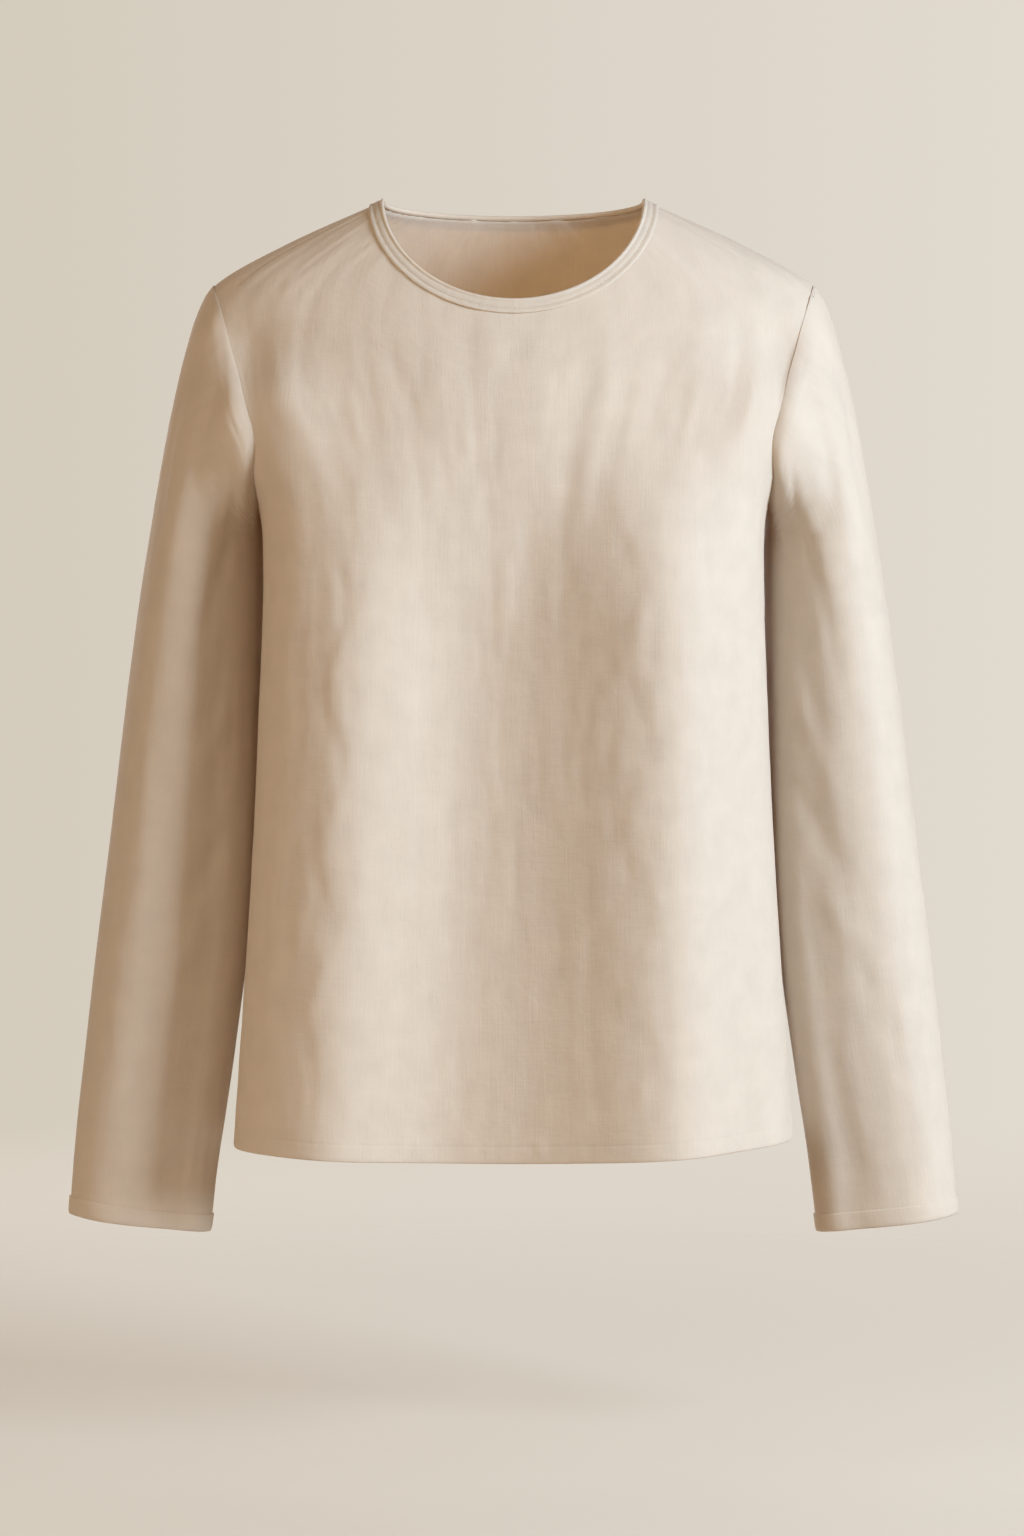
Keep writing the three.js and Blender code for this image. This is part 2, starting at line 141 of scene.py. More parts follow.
# Folds along each sleeve: degrees round it from its outer side to the front, where along it
# the fold starts and is full (0 armhole, 1 upper arm, 2 cuff), how far out, half width.
SLEEVE_FOLDS = {
    "left": [
        (62, 0.25, 1.2, 3.2, 24), (118, 0.35, 1.3, -3.4, 20),
        (250, 0.3, 1.3, -3, 24), (305, 0.3, 1.2, 2.6, 26),
    ],
    "right": [
        (62, 0.25, 1.2, 3.2, 24), (118, 0.35, 1.3, -3.4, 20),
        (250, 0.3, 1.3, -3, 24), (305, 0.3, 1.2, 2.6, 26),
    ],
}

# Creases on the sleeves, in the same way: degrees round and place along at each end. They
# drag down from the cap, cross the inside of the elbow and gather a little above the cuff.
SLEEVE_CREASES = {
    "left": [
        (92, 0.10, 84, 0.95, -2.2, 7), (70, 0.16, 64, 1.10, 1.6, 7), (112, 0.42, 98, 1.16, 1.6, 7),
        (48, 0.30, 52, 1.05, -1.2, 7), (128, 0.90, 84, 1.26, -1.5, 7), (138, 1.18, 92, 1.40, 1.3, 7),
        (142, 1.34, 88, 1.52, -1.4, 7), (120, 1.50, 76, 1.63, 1.0, 7), (96, 1.58, 70, 1.80, -0.8, 7),
        (58, 1.22, 64, 1.55, 0.7, 7), (110, 1.70, 104, 1.90, 0.8, 7), (250, 0.20, 262, 1.05, -1.6, 8),
        (228, 1.05, 268, 1.32, 1.2, 7), (232, 1.24, 276, 1.46, -1.2, 7), (300, 0.50, 296, 1.20, 0.9, 8),
        (8, 0.60, 4, 1.25, -0.7, 8), (345, 1.30, 350, 1.70, 0.6, 8),
    ],
    "right": [
        (90, 0.12, 80, 0.80, -1.8, 7), (72, 0.30, 62, 1.14, 1.4, 7), (114, 0.50, 102, 1.05, 1.3, 7),
        (44, 0.40, 50, 1.12, -1.0, 7), (130, 0.98, 90, 1.22, -1.2, 7), (136, 1.22, 88, 1.37, 1.2, 7),
        (140, 1.40, 94, 1.56, -1.2, 7), (118, 1.54, 80, 1.70, 0.9, 7), (90, 1.66, 74, 1.86, -0.8, 7),
        (60, 1.30, 66, 1.60, 0.7, 7), (246, 0.24, 258, 0.95, -1.5, 8), (230, 1.10, 266, 1.28, 1.0, 7),
        (236, 1.30, 280, 1.52, -1.1, 7), (304, 0.40, 298, 1.10, 0.9, 8), (350, 0.70, 354, 1.30, 0.7, 8),
    ],
}

# ---- Mesh steps ----
PANEL_COLUMNS = 250
SLEEVE_COLUMNS = 130
TINY_TURN = 1e-3
TINY_HEIGHT = 0.1
ALONG_STEP = 1e-3
BODY_ROUND = 150  # mm for each radian of turn, about
BODY_DEGREE = 2.4  # mm
ARM_ROUND = 45
ARM_DEGREE = 0.85
SLEEVE_RUN = 300  # mm for each step along


# ---- Running values ----
def between(table, column, z):
    """A column of a table at any height between its rows, joined smoothly."""
    levels = np.array(table["z"], float)
    values = np.array(table[column], float)
    slopes = np.gradient(values, levels, edge_order=1)
    slopes[1:-1] = (values[2:] - values[:-2]) / (levels[2:] - levels[:-2])
    i = np.clip(np.searchsorted(-levels, -z, side="right") - 1, 0, len(levels) - 2)
    step = levels[i + 1] - levels[i]
    t = (z - levels[i]) / step
    rise = t * t * (3 - 2 * t) * (values[i + 1] - values[i]) + values[i]
    pull = (t**3 - 2 * t * t + t) * slopes[i] + (t**3 - t * t) * slopes[i + 1]
    return rise + pull * step


def smooth(value, low, high):
    t = np.clip((value - low) / (high - low), 0, 1)
    return t * t * (3 - 2 * t)


def bell(offset, half):
    return np.exp(-((offset / half) ** 2))


def apart(a, b):
    return np.abs((a - b + 540) % 360 - 180)


def cloud(across, down, cell_across, cell_down, seed):
    """Soft noise from -1 to 1 whose lumps have the given size across and down."""
    grid = np.random.default_rng(seed).uniform(-1, 1, (64, 64))
    x, y = across / cell_across, down / cell_down
    i, j = np.floor(x).astype(int), np.floor(y).astype(int)
    fx, fy = x - i, y - j
    fx, fy = fx * fx * (3 - 2 * fx), fy * fy * (3 - 2 * fy)

    def corner(a, b):
        return grid[(i + a) % 64, (j + b) % 64]

    near = corner(0, 0) * (1 - fx) + corner(1, 0) * fx
    far = corner(0, 1) * (1 - fx) + corner(1, 1) * fx
    return near * (1 - fy) + far * fy


def crease_relief(across, down, creases, across_unit, down_unit):
    """How far out the cloth stands at each place for a list of creases that fade at their ends."""
    out = np.zeros_like(across + down)
    for a0, d0, a1, d1, depth, half in creases:
        way = np.array([(a1 - a0) * across_unit, (d1 - d0) * down_unit])
        length = np.hypot(*way)
        way = way / length
        from_start = (across - a0 + 180) % 360 - 180
        x, y = from_start * across_unit, (down - d0) * down_unit
        run = (x * way[0] + y * way[1]) / length
        aside = x * way[1] - y * way[0]
        bow = 0.025 * length * np.sin(np.pi * np.clip(run, 0, 1)) * np.sign(depth)
        strength = smooth(run, -0.12, 0.3) * (1 - smooth(run, 0.6, 1.12))
        out += depth * strength * bell(aside - bow, half * (0.8 + 0.5 * np.clip(run, 0, 1)))
    return out


def unit(vectors):
    return vectors / np.linalg.norm(vectors, axis=-1, keepdims=True)


def square_to(surface, a, b, step_a, step_b):
    """The outward direction square to a surface given by two running values."""
    along_a = surface(a + step_a, b) - surface(a - step_a, b)
    along_b = surface(a, b + step_b) - surface(a, b - step_b)
    return unit(np.cross(along_a, along_b))


# ---- The body's form ----
def depth_at(turn, z):
    return np.where(
        np.cos(turn) > 0, between(BODY_LEVELS, "front", z), between(BODY_LEVELS, "back", z)
    )


def body_form(turn, z):
    wide = between(BODY_LEVELS, "wide", z)
    return np.stack([wide * np.sin(turn), -depth_at(turn, z) * np.cos(turn), z + 0 * turn], -1)


def body_fold(turn, z):
    at = np.degrees(turn)
    out = np.zeros_like(at + z)
    for top, low, start, full, depth, half in BODY_FOLDS:
        place = top + (low - top) * (z - start) / (HEM_HEIGHT - start)
        out += depth * smooth(-z, -start, -full) * bell(apart(at, place), half)
    h = HOLLOW
    strength = smooth(-z, -h["start"], -h["full"]) * (1 - smooth(-z, -h["full"], -h["end"]))
    place = h["top"] + (h["low"] - h["top"]) * (z - h["start"]) / (h["end"] - h["start"])
    for side in (place, -place, 180 - place, place - 180):
        out += h["out"] * strength * bell(apart(at, side), h["half"])
    return out


def body_point(turn, z):
    out = square_to(body_form, turn, z, TINY_TURN, TINY_HEIGHT)
    return body_form(turn, z) + out * body_fold(turn, z)[..., None]


def body_out(turn, z):
    return square_to(body_point, turn, z, TINY_TURN, TINY_HEIGHT)


def neck_height(turn):
    """Height of the cut neck edge at a turn: an ellipse as seen from the front."""
    drop = np.where(np.cos(turn) > 0, FRONT_NECK_DROP, BACK_NECK_DROP).astype(float)
    low, high = -drop, np.zeros_like(drop)
    for _ in range(40):
        z = (low + high) / 2
        across = between(BODY_LEVELS, "wide", z) * np.sin(turn) / NECK_HALF_WIDTH
        outside = across**2 + (z / drop) ** 2 > 1
        low, high = np.where(outside, z, low), np.where(outside, high, z)
    return (low + high) / 2


def armhole_cut(z, is_front):
    """How far the armhole cuts into a panel from its side seam, as a turn."""
    middle = (ARMPIT + SHOULDER_TIP) / 2
    half = (SHOULDER_TIP - ARMPIT) / 2
    bulge = np.sqrt(np.clip(1 - ((z - middle) / half) ** 2, 0, 1))
    front = ARMHOLE_FRONT + (ARMHOLE_FRONT_LOW - ARMHOLE_FRONT) * smooth(-z, 95, 215)
    reach = (front if is_front else ARMHOLE_BACK) * bulge
    return np.arcsin(reach / between(BODY_LEVELS, "front" if is_front else "back", z))


# ---- Meshes ----
def grid_piece(name, places, reversed_faces=False, closed=False):
    """A sheet of cloth from a grid whose vertices are moved to places[row, column], in mm."""
    rows, columns = places.shape[:2]
    bm = bmesh.new()
    bmesh.ops.create_grid(bm, x_segments=columns - 1, y_segments=rows - 1, size=1, calc_uvs=True)
    mesh = bpy.data.meshes.new(name)
    bm.loops.layers.uv.verify()
    bm.to_mesh(mesh)
    bm.free()
    flat = np.zeros(len(mesh.vertices) * 3)
    mesh.vertices.foreach_get("co", flat)
    flat = flat.reshape(-1, 3)
    column = np.rint((flat[:, 0] + 1) / 2 * (columns - 1)).astype(int)
    row = np.rint((flat[:, 1] + 1) / 2 * (rows - 1)).astype(int)
    mesh.vertices.foreach_set("co", (places[row, column] * MM).ravel())
    across = np.linalg.norm(np.diff(places, axis=1), axis=2)
    across = np.concatenate([np.zeros((rows, 1)), np.cumsum(across, 1)], 1)
    across -= across[:, columns // 2][:, None]
    up = np.linalg.norm(np.diff(places[:, columns // 2], axis=0), axis=1)
    up = np.concatenate([[0], np.cumsum(up)])[:, None] + 0 * across
    corners = np.zeros(len(mesh.loops), int)
    mesh.loops.foreach_get("vertex_index", corners)
    cut = np.stack([across, up], -1)[row[corners], column[corners]] * MM
    mesh.uv_layers[0].name = "cut"
    mesh.uv_layers["cut"].data.foreach_set("uv", cut.ravel())
    bm = bmesh.new()
    bm.from_mesh(mesh)
    if closed:
        bmesh.ops.remove_doubles(bm, verts=bm.verts, dist=1e-7)
    if reversed_faces:
        bmesh.ops.reverse_faces(bm, faces=bm.faces)
    for face in bm.faces:
        face.smooth = True
    bm.to_mesh(mesh)
    bm.free()
    piece = bpy.data.objects.new(name, mesh)
    bpy.context.scene.collection.objects.link(piece)
    return piece, row


def thicken(piece, is_folded):
    """Gives the cloth its wall on the inner side, double where is_folded says."""
    group = piece.vertex_groups.new(name="layers")
    single = CLOTH / FOLDED
    for index, folded in enumerate(is_folded):
        group.add([index], 1.0 if folded else single, "REPLACE")
    wall = piece.modifiers.new("cloth wall", "SOLIDIFY")
    wall.thickness = FOLDED * MM
    wall.offset = -1
    wall.vertex_group = "layers"
    wall.use_even_offset = False
    wall.use_rim = True


# ---- Front and back ----
EDGE_SHARES = np.array([-1, -0.9993, -0.9975])  # close columns keep the edges crisp
CAP_EDGE = [0, 0.001, 0.004, 0.009]
HEM_ROWS = [0, 0.4, 1.0, 2.0, 4.0, 6.5, 8.6, 9.8, 10.4, 10.8, 11.2, 11.8, 12.8, 14.4]


def panel_rows():
    """Heights of a panel's rows, from the hem to the shoulder seam's neck end.

    The first column holds those at the side edge, which close up at the armhole's ends, and
    the second those in the middle of the panel, which are even.
    """
    low = HEM_HEIGHT + np.array(HEM_ROWS)
    body = np.linspace(low[-1], ARMPIT, 112)[1:]
    share = np.linspace(0, 1, 48)[1:]
    rise = SHOULDER_TIP - ARMPIT
    at_edge = ARMPIT + rise * (0.5 - 0.5 * np.cos(math.pi * share))
    shoulder = np.linspace(SHOULDER_TIP, 0, 20)[1:]
    edge = np.concatenate([low, body, at_edge, shoulder])
    middle = np.concatenate([low, body, ARMPIT + rise * share, shoulder])
    return edge[:, None], middle[:, None]


def hem_relief(up, across, seed):
    """The hem's own shape: a soft fold edge, a pinched stitch line and small puckers."""
    edge = -0.5 * np.exp(-up / 0.7)
    stitch = -0.1 * bell(up - HEM_DEPTH, 0.7)
    pucker = 0.22 * cloud(across, up, 5, 40, seed) + 0.12 * cloud(across, up, 2.6, 30, seed + 1)
    near = bell(up - HEM_DEPTH, 6)
    return edge + stitch + pucker * near


def panel(name, is_front):
    at_edge, inside = panel_rows()
    share = np.linspace(-1, 1, PANEL_COLUMNS - 3)[1:-1]
    share = np.concatenate([EDGE_SHARES, share, -EDGE_SHARES[::-1]])[None, :]
    in_arm = (at_edge >= ARMPIT) & (at_edge <= SHOULDER_TIP)
    cut = np.where(in_arm, armhole_cut(at_edge, is_front), 0)
    middle = 0 if is_front else math.pi
    turn = middle + share * (math.pi / 2 - cut)
    z_edge = inside + (at_edge - inside) * share**8
    neck = np.clip(1 - z_edge / ARMPIT, 0, 1)
    hem = HEM_LIFT * np.sin(turn) - HEM_DROP * np.cos(turn) ** 2
    at_hem = 1 - smooth(z_edge, HEM_HEIGHT, ARMPIT)
    z = z_edge + neck * neck_height(middle + share * math.pi / 2) + at_hem * hem
    places = body_point(turn, z)
    out = body_out(turn, z)
    seed = 11 if is_front else 31
    across = turn * BODY_ROUND
    relief = crinkles(across, z, seed) * edge_fade(z_edge, share)
    creased = crease_relief(np.degrees(turn), z, BODY_CREASES, BODY_DEGREE, 1)
    relief += CREASE_SHARE * creased * edge_fade(z_edge, share)
    relief += hem_relief(z_edge - HEM_HEIGHT, across, seed + 7)
    seam = (1 - np.abs(share)) * (math.pi / 2 - cut) * BODY_ROUND
    relief -= 0.2 * bell(seam, 1.2) * ~in_arm
    places = places + out * relief[..., None]
    piece, row = grid_piece(name, places)
    thicken(piece, row <= HEM_ROWS.index(HEM_DEPTH))
    return piece


def edge_fade(z_edge, share):
    """Crinkles die out at the hem, where the folded cloth is stiff."""
    return smooth(z_edge - HEM_HEIGHT, 4, 40) * smooth(1 - np.abs(share), 0, 0.03)


def crinkles(across, z, seed):
    """The small dents of washed linen: narrow, wavering and longer down the cloth than across."""
    waver = across + 2.2 * cloud(across, z, 40, 60, seed) + 0.8 * cloud(across, z, 12, 18, seed + 1)
    chest = bell(z + 150, 95)
    broad = cloud(waver, z, 10, 90, seed + 2) * (0.2 + 0.4 * chest)
    narrow = cloud(waver, z, 5.0, 38, seed + 3) * (0.26 + 0.1 * chest)
    fine = cloud(waver, z, 3.8, 15, seed + 4) * 0.12
    dents = cloud(waver, z, 8, 13, seed + 5) * 0.22
    patches = 0.65 + 0.35 * cloud(across, z, 55, 90, seed + 6)
    return broad + (narrow + fine + dents) * patches


# ---- Neck binding ----
# The strip's section: down the panel from its cut edge, and out from its face. It starts at
# the outer edge, dips at the stitch line and rolls over the cut edge to the inside.
BINDING_SECTION = [
    (8.5, 0.05), (8.65, 0.4), (8.6, 0.85), (8.3, 1.2), (7.7, 1.4), (7.0, 1.4), (6.3, 1.3),
    (5.7, 1.1), (5.2, 0.9), (4.8, 0.9), (4.3, 1.1), (3.6, 1.25), (2.7, 1.3), (1.8, 1.25),
    (1.1, 1.1), (0.7, 1.05), (0.3, 1.25), (-0.2, 1.6), (-0.8, 1.8), (-1.4, 1.65), (-1.9, 1.1),
    (-2.1, 0.4), (-2.05, -0.3), (-1.75, -0.8), (-1.2, -1.15), (-0.4, -1.3), (0.5, -1.25),
    (1.2, -1.0), (0.6, -0.5), (-0.15, -0.2), (0.3, 0.1), (3.0, 0.05), (6.0, 0.05),
]
BINDING_STITCH = 4.85
BINDING_TURNS = 520


def neck_edge(turn):
    return body_point(turn, neck_height(turn))


def near_neck(turn, down, out):
    """A point near the neck edge: some way down the panel, square to it, and out from it."""
    way = unit(neck_edge(turn + TINY_TURN) - neck_edge(turn - TINY_TURN))
    at, z = turn + 0 * down, neck_height(turn) + 0 * down
    for _ in range(3):
        face = body_out(at, z)
        away = unit(np.cross(way, face)) * (np.maximum(down, 0) / 3)[..., None]
        here = body_point(at, z)
        per_turn = (body_point(at + TINY_TURN, z) - here) / TINY_TURN
        per_height = (body_point(at, z + TINY_HEIGHT) - here) / TINY_HEIGHT
        tt, hh = (per_turn**2).sum(-1), (per_height**2).sum(-1)
        th = (per_turn * per_height).sum(-1)
        wt, wh = (away * per_turn).sum(-1), (away * per_height).sum(-1)
        size = tt * hh - th * th
        at, z = at + (wt * hh - wh * th) / size, z + (wh * tt - wt * th) / size
    face = body_out(at, z)
    over = unit(np.cross(way, face)) * np.minimum(down, 0)[..., None]
    return body_point(at, z) + over + face * out[..., None]


def neck_turns(count):
    """Turns round the neck, evenly spaced along its edge."""
    turn = np.linspace(0, 2 * math.pi, 4001)
    points = neck_edge(turn)
    run = np.concatenate([[0], np.cumsum(np.linalg.norm(np.diff(points, axis=0), axis=1))])
    return np.interp(np.linspace(0, run[-1], count + 1), run, turn), run[-1]


def binding(name):
    turn, length = neck_turns(BINDING_TURNS)
    section = np.array(BINDING_SECTION + BINDING_SECTION[:1], float)
    out = section[:, 1]
    turn = turn[:, None] + 0 * out
    down = section[:, 0] + 0 * turn
    run = np.linspace(0, length, len(turn))[:, None]
    wave = 0.10 * cloud(run, down, 3.1, 50, 5) * (out > 0.5)
    places = near_neck(turn, down, out + wave)
    places[-1] = places[0]
    piece, _ = grid_piece(name, places, closed=True)
    return piece


# ---- Stitches ----
# One stitch: share of its length, how far out, share of the thread's thickness.
STITCH_SHAPE = [
    (0.0, -0.25, 0.5), (0.22, 0.12, 1.0), (0.5, 0.22, 1.05), (0.78, 0.12, 1.0), (1.0, -0.25, 0.5),
]
THREAD_SIDES = 6


def stitches(name, points, outs, length, gap, thick):
    """Short threads laid end to end along a line on the cloth, each dipping in at its ends."""
    run = np.concatenate([[0], np.cumsum(np.linalg.norm(np.diff(points, axis=0), axis=1))])
    count = int(run[-1] / (length + gap))
    pitch = run[-1] / count

    def at(s, values):
        return np.stack([np.interp(s, run, values[:, k]) for k in range(3)], -1)

    bm = bmesh.new()
    for i in range(count):
        rings = []
        for share, lift, fat in STITCH_SHAPE:
            s = (i + 0.5) * pitch + (share - 0.5) * length
            here, out = at(s, points), unit(at(s, outs))
            way = unit(at(s + 0.3, points) - at(s - 0.3, points))
            side = unit(np.cross(way, out))
            ring = []
            for k in range(THREAD_SIDES):
                a = math.pi / 6 + math.pi / 3 * k
                rise = out * (lift + thick * fat * math.sin(a))
                ring.append(bm.verts.new((here + rise + side * thick * fat * math.cos(a)) * MM))
            rings.append(ring)
        for low, high in zip(rings, rings[1:]):
            for k in range(THREAD_SIDES):
                on = (k + 1) % THREAD_SIDES
                bm.faces.new((low[k], low[on], high[on], high[k]))
        bm.faces.new(rings[0][::-1])
        bm.faces.new(rings[-1])
    bmesh.ops.recalc_face_normals(bm, faces=bm.faces)
    for face in bm.faces:
        face.smooth = True
    mesh = bpy.data.meshes.new(name)
    bm.to_mesh(mesh)
    bm.free()
    piece = bpy.data.objects.new(name, mesh)
    bpy.context.scene.collection.objects.link(piece)
    return piece


def binding_stitches(name):
    turn, _ = neck_turns(900)
    down = np.full_like(turn, BINDING_STITCH)
    points = near_neck(turn, down, np.full_like(turn, 0.9))
    lifted = near_neck(turn, down, np.full_like(turn, 1.9))
    return stitches(name, points, lifted - points, 2.1, 0.9, 0.16)


# ---- Sleeves ----
def arm_form(turn, z):
    wide = between(ARM_LEVELS, "wide", z) * np.cos(turn)
    press = between(ARM_LEVELS, "press", z) * bell(apart(np.degrees(turn), PRESS_ROUND), PRESS_HALF)
    return np.stack([
        between(ARM_LEVELS, "x", z) - press + wide * math.cos(ARM_TILT),
        between(ARM_LEVELS, "y", z) - between(ARM_LEVELS, "deep", z) * np.sin(turn),
        z + wide * math.sin(ARM_TILT),
    ], -1)


def armhole_place(round_):
    middle = (ARMPIT + SHOULDER_TIP) / 2
    half = (SHOULDER_TIP - ARMPIT) / 2
    z = middle + half * np.cos(round_)
    front = np.pi / 2 - armhole_cut(z, True)
    back = np.pi / 2 + armhole_cut(z, False)
    return np.where(np.sin(round_) >= 0, front, back), z


def cap_way(round_):
    """The way the cap leaves the armhole: on down the shoulder, and out at the armpit."""
    turn, z = armhole_place(round_)
    next_turn, next_z = armhole_place(round_ + TINY_TURN)
    seam = unit(body_point(next_turn, next_z) - body_point(turn, z))
    out = body_out(turn, z)
    on = unit(np.cross(out, seam))
    turned = (CAP_TURN * ((1 - np.cos(round_)) / 2) ** 1.2)[..., None]
    way = on * np.cos(turned) + out * np.sin(turned)
    way[..., 2] -= CAP_FALL * np.sin(round_) ** 2
    return unit(way)


def cap_ends(round_):
    """What the cap's strands depend on, worked out once for each angle round the sleeve."""
    way = cap_way(round_)
    turn, z = armhole_place(round_)
    start = body_point(turn, z) - way * CAP_TUCK - body_out(turn, z) * CAP_SINK
    top = np.full_like(round_, ARM_LEVELS["z"][0])
    end = arm_form(round_, top)
    length = np.linalg.norm(end - start, axis=-1, keepdims=True)
    down = unit(arm_form(round_, top - 1) - end) * length * ARM_PULL
    return start, way * np.minimum(CAP_PULL, length * 0.8), end, down


def sleeve_form(round_, along):
    """along is 0 at the armhole, 1 at the upper arm and 2 at the cuff."""
    top, cuff = ARM_LEVELS["z"][0], ARM_LEVELS["z"][-1]
    start, way, end, down = cap_ends(round_[:1])
    t = np.clip(along, 0, 1)[..., None]
    cap = (
        start * (2 * t**3 - 3 * t * t + 1) + way * (t**3 - 2 * t * t + t)
        + end * (3 * t * t - 2 * t**3) + down * (t**3 - t * t)
    )
    arm = arm_form(round_, top + (cuff - top) * np.clip(along - 1, 0, 2))
    return np.where(along[..., None] > 1, arm, cap)


def sleeve_rows():
    arm_length = ARM_LEVELS["z"][0] - ARM_LEVELS["z"][-1]
    cap = np.concatenate([CAP_EDGE, np.linspace(0, 1, 60)[1:]])
    cuff = 2 - np.array(HEM_ROWS[::-1]) / arm_length
    arm = np.linspace(1, cuff[0], 122)[1:]
    return np.concatenate([cap, arm, cuff[1:]]), arm_length


def sleeve(name, side):
    rows, arm_length = sleeve_rows()
    round_ = np.linspace(0, 2 * math.pi, SLEEVE_COLUMNS + 1)[None, :] + 0 * rows[:, None]
    along = rows[:, None] + 0 * round_
    at = np.degrees(round_)

    def folded(r, a):
        out = np.zeros_like(r)
        for place, start, full, depth, half in SLEEVE_FOLDS[side]:
            out += depth * smooth(a, start, full) * bell(apart(np.degrees(r), place), half)
        base = square_to(sleeve_form, r, np.maximum(a, ALONG_STEP), TINY_TURN, ALONG_STEP)
        return sleeve_form(r, a) + base * out[..., None]

    places = folded(round_, along)
    out = square_to(folded, round_, np.maximum(along, ALONG_STEP), TINY_TURN, ALONG_STEP)
    across = round_ * ARM_ROUND
    down = along * SLEEVE_RUN
    seed = 51 if side == "left" else 71
    wrap = smooth(round_, 0, 0.3) * smooth(2 * math.pi - round_, 0, 0.3)
    relief = crinkles(across, -down - 150, seed) * wrap * smooth(along, 0, 0.1)
    creased = crease_relief(at, along, SLEEVE_CREASES[side], ARM_DEGREE, SLEEVE_RUN)
    relief += creased * smooth(along, 0, 0.2)
    relief *= smooth(2 - along, 0.01, 0.09)
    up = (2 - along) * arm_length
    relief += hem_relief(up, np.sin(round_) * 60, seed + 7)
    places = places + out * relief[..., None]
    places[:, -1] = places[:, 0]
    if side == "right":
        places = places * np.array([-1, 1, 1])
    piece, _ = grid_piece(name, places, reversed_faces=side == "left", closed=True)
    points = np.zeros(len(piece.data.vertices) * 3)
    piece.data.vertices.foreach_get("co", points)
    thicken(piece, is_cuff(points.reshape(-1, 3) / MM))
    return piece


def is_cuff(points):
    """Whether each point lies in the turned-up cuff, measured along the sleeve."""
    side = np.abs(points[:, 0]) - ARM_LEVELS["x"][-1]
    up = points[:, 2] - (ARM_LEVELS["z"][-1] + side * math.tan(ARM_TILT))
    return up < HEM_DEPTH


# ---- Camera ----
def place_camera():
    """A level camera in front of the blouse, at the height of its waist."""
    camera = bpy.data.objects.new("camera", bpy.data.cameras.new("camera"))
    camera.location = (-0.001, -2.5, -0.379)
    camera.rotation_euler = (math.pi / 2, 0, 0)
    camera.data.lens = 87.45
    camera.data.sensor_width = 36
    bpy.context.scene.collection.objects.link(camera)
    bpy.context.scene.camera = camera


# ---- Materials ----
def linear(code, alpha=1.0):
    """The linear colour of an sRGB hex value."""
    parts = [int(code[i:i + 2], 16) / 255 for i in (1, 3, 5)]
    turned = [c / 12.92 if c <= 0.04045 else ((c + 0.055) / 1.055) ** 2.4 for c in parts]
    return (*turned, alpha)


def add_node(tree, kind, settings=None, **links):
    """Adds a node with its settings, and sets or links its inputs by name."""
    node = tree.nodes.new(kind)
    for key, value in (settings or {}).items():
        setattr(node, key, value)
    for key, value in links.items():
        place = int(key[1:]) if key[1:].isdigit() else key.replace("_", " ")
        socket = node.inputs[place]
        if isinstance(value, bpy.types.NodeSocket):
            tree.links.new(value, socket)
        else:
            socket.default_value = value
    return node


def washed_linen(name, shade):
    """Plain-weave linen, washed soft: a matt face with fine uneven threads and slubs."""
    material = bpy.data.materials.new(name)
    material.use_nodes = True
    tree = material.node_tree
    shader = tree.nodes["Principled BSDF"]
    cut = add_node(tree, "ShaderNodeUVMap", {"uv_map": "cut"})
    # Real threads are 0.4 mm apart; these run coarser, at 1 mm, so that they show from afar.
    warp, weft = (
        add_node(
            tree, "ShaderNodeTexNoise", {"noise_dimensions": "2D"}, Detail=3.0, Roughness=0.6,
            Scale=1.0,
            Vector=add_node(
                tree, "ShaderNodeVectorMath", {"operation": "MULTIPLY"},
                i0=cut.outputs[0], i1=scale,
            ).outputs[0],
        ).outputs[0]
        for scale in ((700, 45, 1), (45, 700, 1))
    )
    cloudy = add_node(
        tree, "ShaderNodeTexNoise", {"noise_dimensions": "2D"}, Vector=cut.outputs[0],
        Scale=55.0, Detail=4.0, Roughness=0.6,
    )
    threads = add_node(
        tree, "ShaderNodeMath", {"operation": "MULTIPLY_ADD"}, i0=weft, i1=0.5, i2=warp,
    )
    mottle = add_node(
        tree, "ShaderNodeMath", {"operation": "MULTIPLY_ADD"},
        i0=threads.outputs[0], i1=0.35, i2=cloudy.outputs[0],
    )
    tone = add_node(
        tree, "ShaderNodeMapRange", Value=mottle.outputs[0], From_Min=0.42, From_Max=1.1,
        To_Min=0.94, To_Max=1.045,
    )
    colour = add_node(
        tree, "ShaderNodeVectorMath", {"operation": "SCALE"}, i0=linear(shade)[:3],
        Scale=tone.outputs[0],
    )
    weave = add_node(
        tree, "ShaderNodeBump", Strength=0.5, Distance=0.0006, Height=mottle.outputs[0],
    )
    tree.links.new(colour.outputs[0], shader.inputs["Base Color"])
    tree.links.new(weave.outputs[0], shader.inputs["Normal"])
    # Light comes through the open weave, so the inside of the blouse is not dark.
    through = add_node(
        tree, "ShaderNodeBsdfTranslucent", Color=linear("#f0d4ac"), Normal=weave.outputs[0],
    )
    cloth = add_node(
        tree, "ShaderNodeMixShader", i0=0.32, i1=shader.outputs[0], i2=through.outputs[0],
    )
    tree.links.new(cloth.outputs[0], tree.nodes["Material Output"].inputs["Surface"])
    shader.inputs["Roughness"].default_value = 0.88
    shader.inputs["Sheen Weight"].default_value = 0.12
    shader.inputs["Sheen Roughness"].default_value = 0.5
    shader.inputs["Specular IOR Level"].default_value = 0.25
    return material


# ---- Light and room ----
FLOOR_HEIGHT = -0.83
KEY_TURN = 55  # round from the front towards the wearer's left
KEY_LIFT = 16
KEY_SIZE = 1.3
KEY_POWER = 133
FRONT_POWER = 13
BACK_POWER = 52
SIDE_POWER = 3.4  # near the wearer's right sleeve


